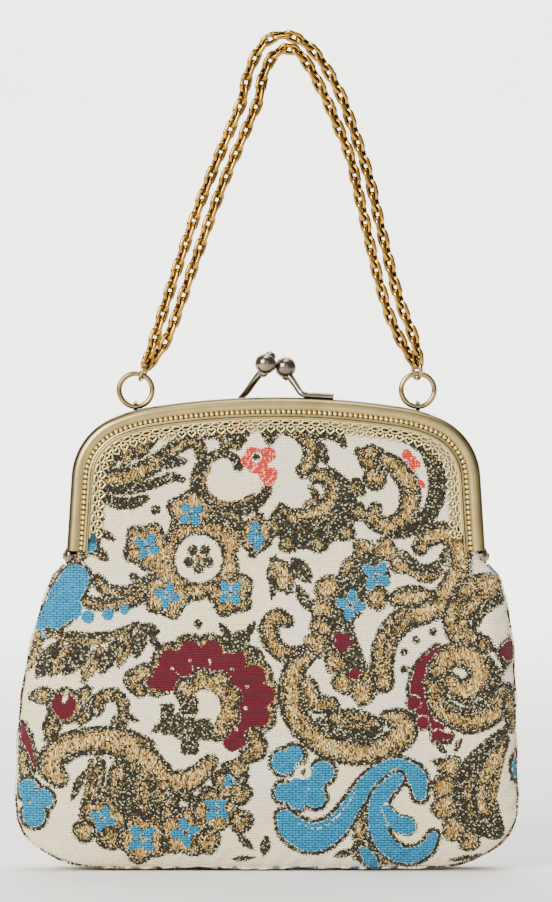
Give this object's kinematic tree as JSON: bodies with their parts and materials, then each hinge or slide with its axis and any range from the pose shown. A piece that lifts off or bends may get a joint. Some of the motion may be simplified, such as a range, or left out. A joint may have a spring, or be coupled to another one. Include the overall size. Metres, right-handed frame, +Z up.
{
  "type": "kiss-clasp evening bag",
  "caption": "Small woven-tapestry evening bag on a hinged metal frame with a two-ball kiss clasp and a doubled cable-chain handle on rings.",
  "frame": {"origin": "underside of the chain's arch, on the bag's middle plane and on the plane where the two frame halves meet, where a hand or hook carries the bag", "axes": "+Z up along the hanging bag, +X to the right seen from the front, front towards -Y"},
  "size_m": [0.1992, 0.0371, 0.3334],
  "materials": {
    "frame_metal": "brushed pale gold plate",
    "trim_metal": "pierced pale gold plate",
    "clasp_metal": "polished nickel gone dark",
    "ring_metal": "polished gold plate, worn",
    "chain_metal": "polished gold plate",
    "tapestry": "ribbed jacquard tapestry",
    "lining": "satin",
    "cord": "twisted paper"
  },
  "bodies": {
    "chain_arch": {"chain_arch": "chain_metal"},
    "chain_runs": {"chain_left_run": "chain_metal", "chain_right_run": "chain_metal", "left_jump_ring": "ring_metal", "right_jump_ring": "ring_metal"},
    "left_ring": {"left_ring": "ring_metal"},
    "right_ring": {"right_ring": "ring_metal"},
    "bag": {"back_frame": "frame_metal", "back_left_ear": "frame_metal", "back_right_ear": "frame_metal", "left_hinge_rivet": "clasp_metal", "right_hinge_rivet": "clasp_metal", "back_clasp_foot": "clasp_metal", "left_ring_lug": "clasp_metal", "right_ring_lug": "clasp_metal", "back_panel": "tapestry", "front_panel": "tapestry", "gusset": "tapestry", "lining_front": "lining", "lining_back": "lining", "lining_gusset": "lining", "back_lace_trim": "trim_metal", "back_edge_cord": "cord"},
    "front_half": {"front_frame": "frame_metal", "front_left_ear": "frame_metal", "front_right_ear": "frame_metal", "front_clasp_foot": "clasp_metal", "front_panel_flap": "tapestry", "lining_front_flap": "lining", "front_lace_trim": "trim_metal", "front_edge_cord": "cord"},
    "back_clasp": {"back_clasp_arm": "clasp_metal", "back_clasp_ball": "clasp_metal"},
    "front_clasp": {"front_clasp_arm": "clasp_metal", "front_clasp_ball": "clasp_metal"}
  },
  "joints": [
    {"name": "handle_swing", "type": "hinge", "parent": "chain_arch", "child": "chain_runs", "pos_m": [0, 0, -0.02], "axis": [1, 0, 0], "range_deg": [-18, 18]},
    {"name": "ring_swing", "type": "hinge", "parent": "chain_runs", "child": "left_ring", "pos_m": [-0.0561, 0, -0.1292], "axis": [1, 0, 0], "range_deg": [-60, 60]},
    {"name": "right_ring_swing", "type": "hinge", "parent": "chain_runs", "child": "right_ring", "pos_m": [0.0567, 0, -0.1292], "axis": [1, 0, 0], "range_deg": [-60, 60]},
    {"name": "bag_swing", "type": "hinge", "parent": "left_ring", "child": "bag", "pos_m": [0, 0, -0.142], "axis": [1, 0, 0], "range_deg": [-60, 60]},
    {"name": "frame_hinge", "type": "hinge", "parent": "bag", "child": "front_half", "pos_m": [0, 0, -0.202], "axis": [1, 0, 0], "range_deg": [0, 80]},
    {"name": "back_clasp_flex", "type": "hinge", "parent": "bag", "child": "back_clasp", "pos_m": [-0.0127, 0.0064, -0.1388], "axis": [0, -1, 0], "range_deg": [0, 4], "stiffness_Nm_per_rad": 0.3},
    {"name": "front_clasp_flex", "type": "hinge", "parent": "front_half", "child": "front_clasp", "pos_m": [0.0106, -0.003, -0.1373], "axis": [0, 1, 0], "range_deg": [0, 4], "stiffness_Nm_per_rad": 0.3}
  ],
  "couplings": [
    {"joint": "right_ring_swing", "follows": "ring_swing", "ratio": 1}
  ]
}
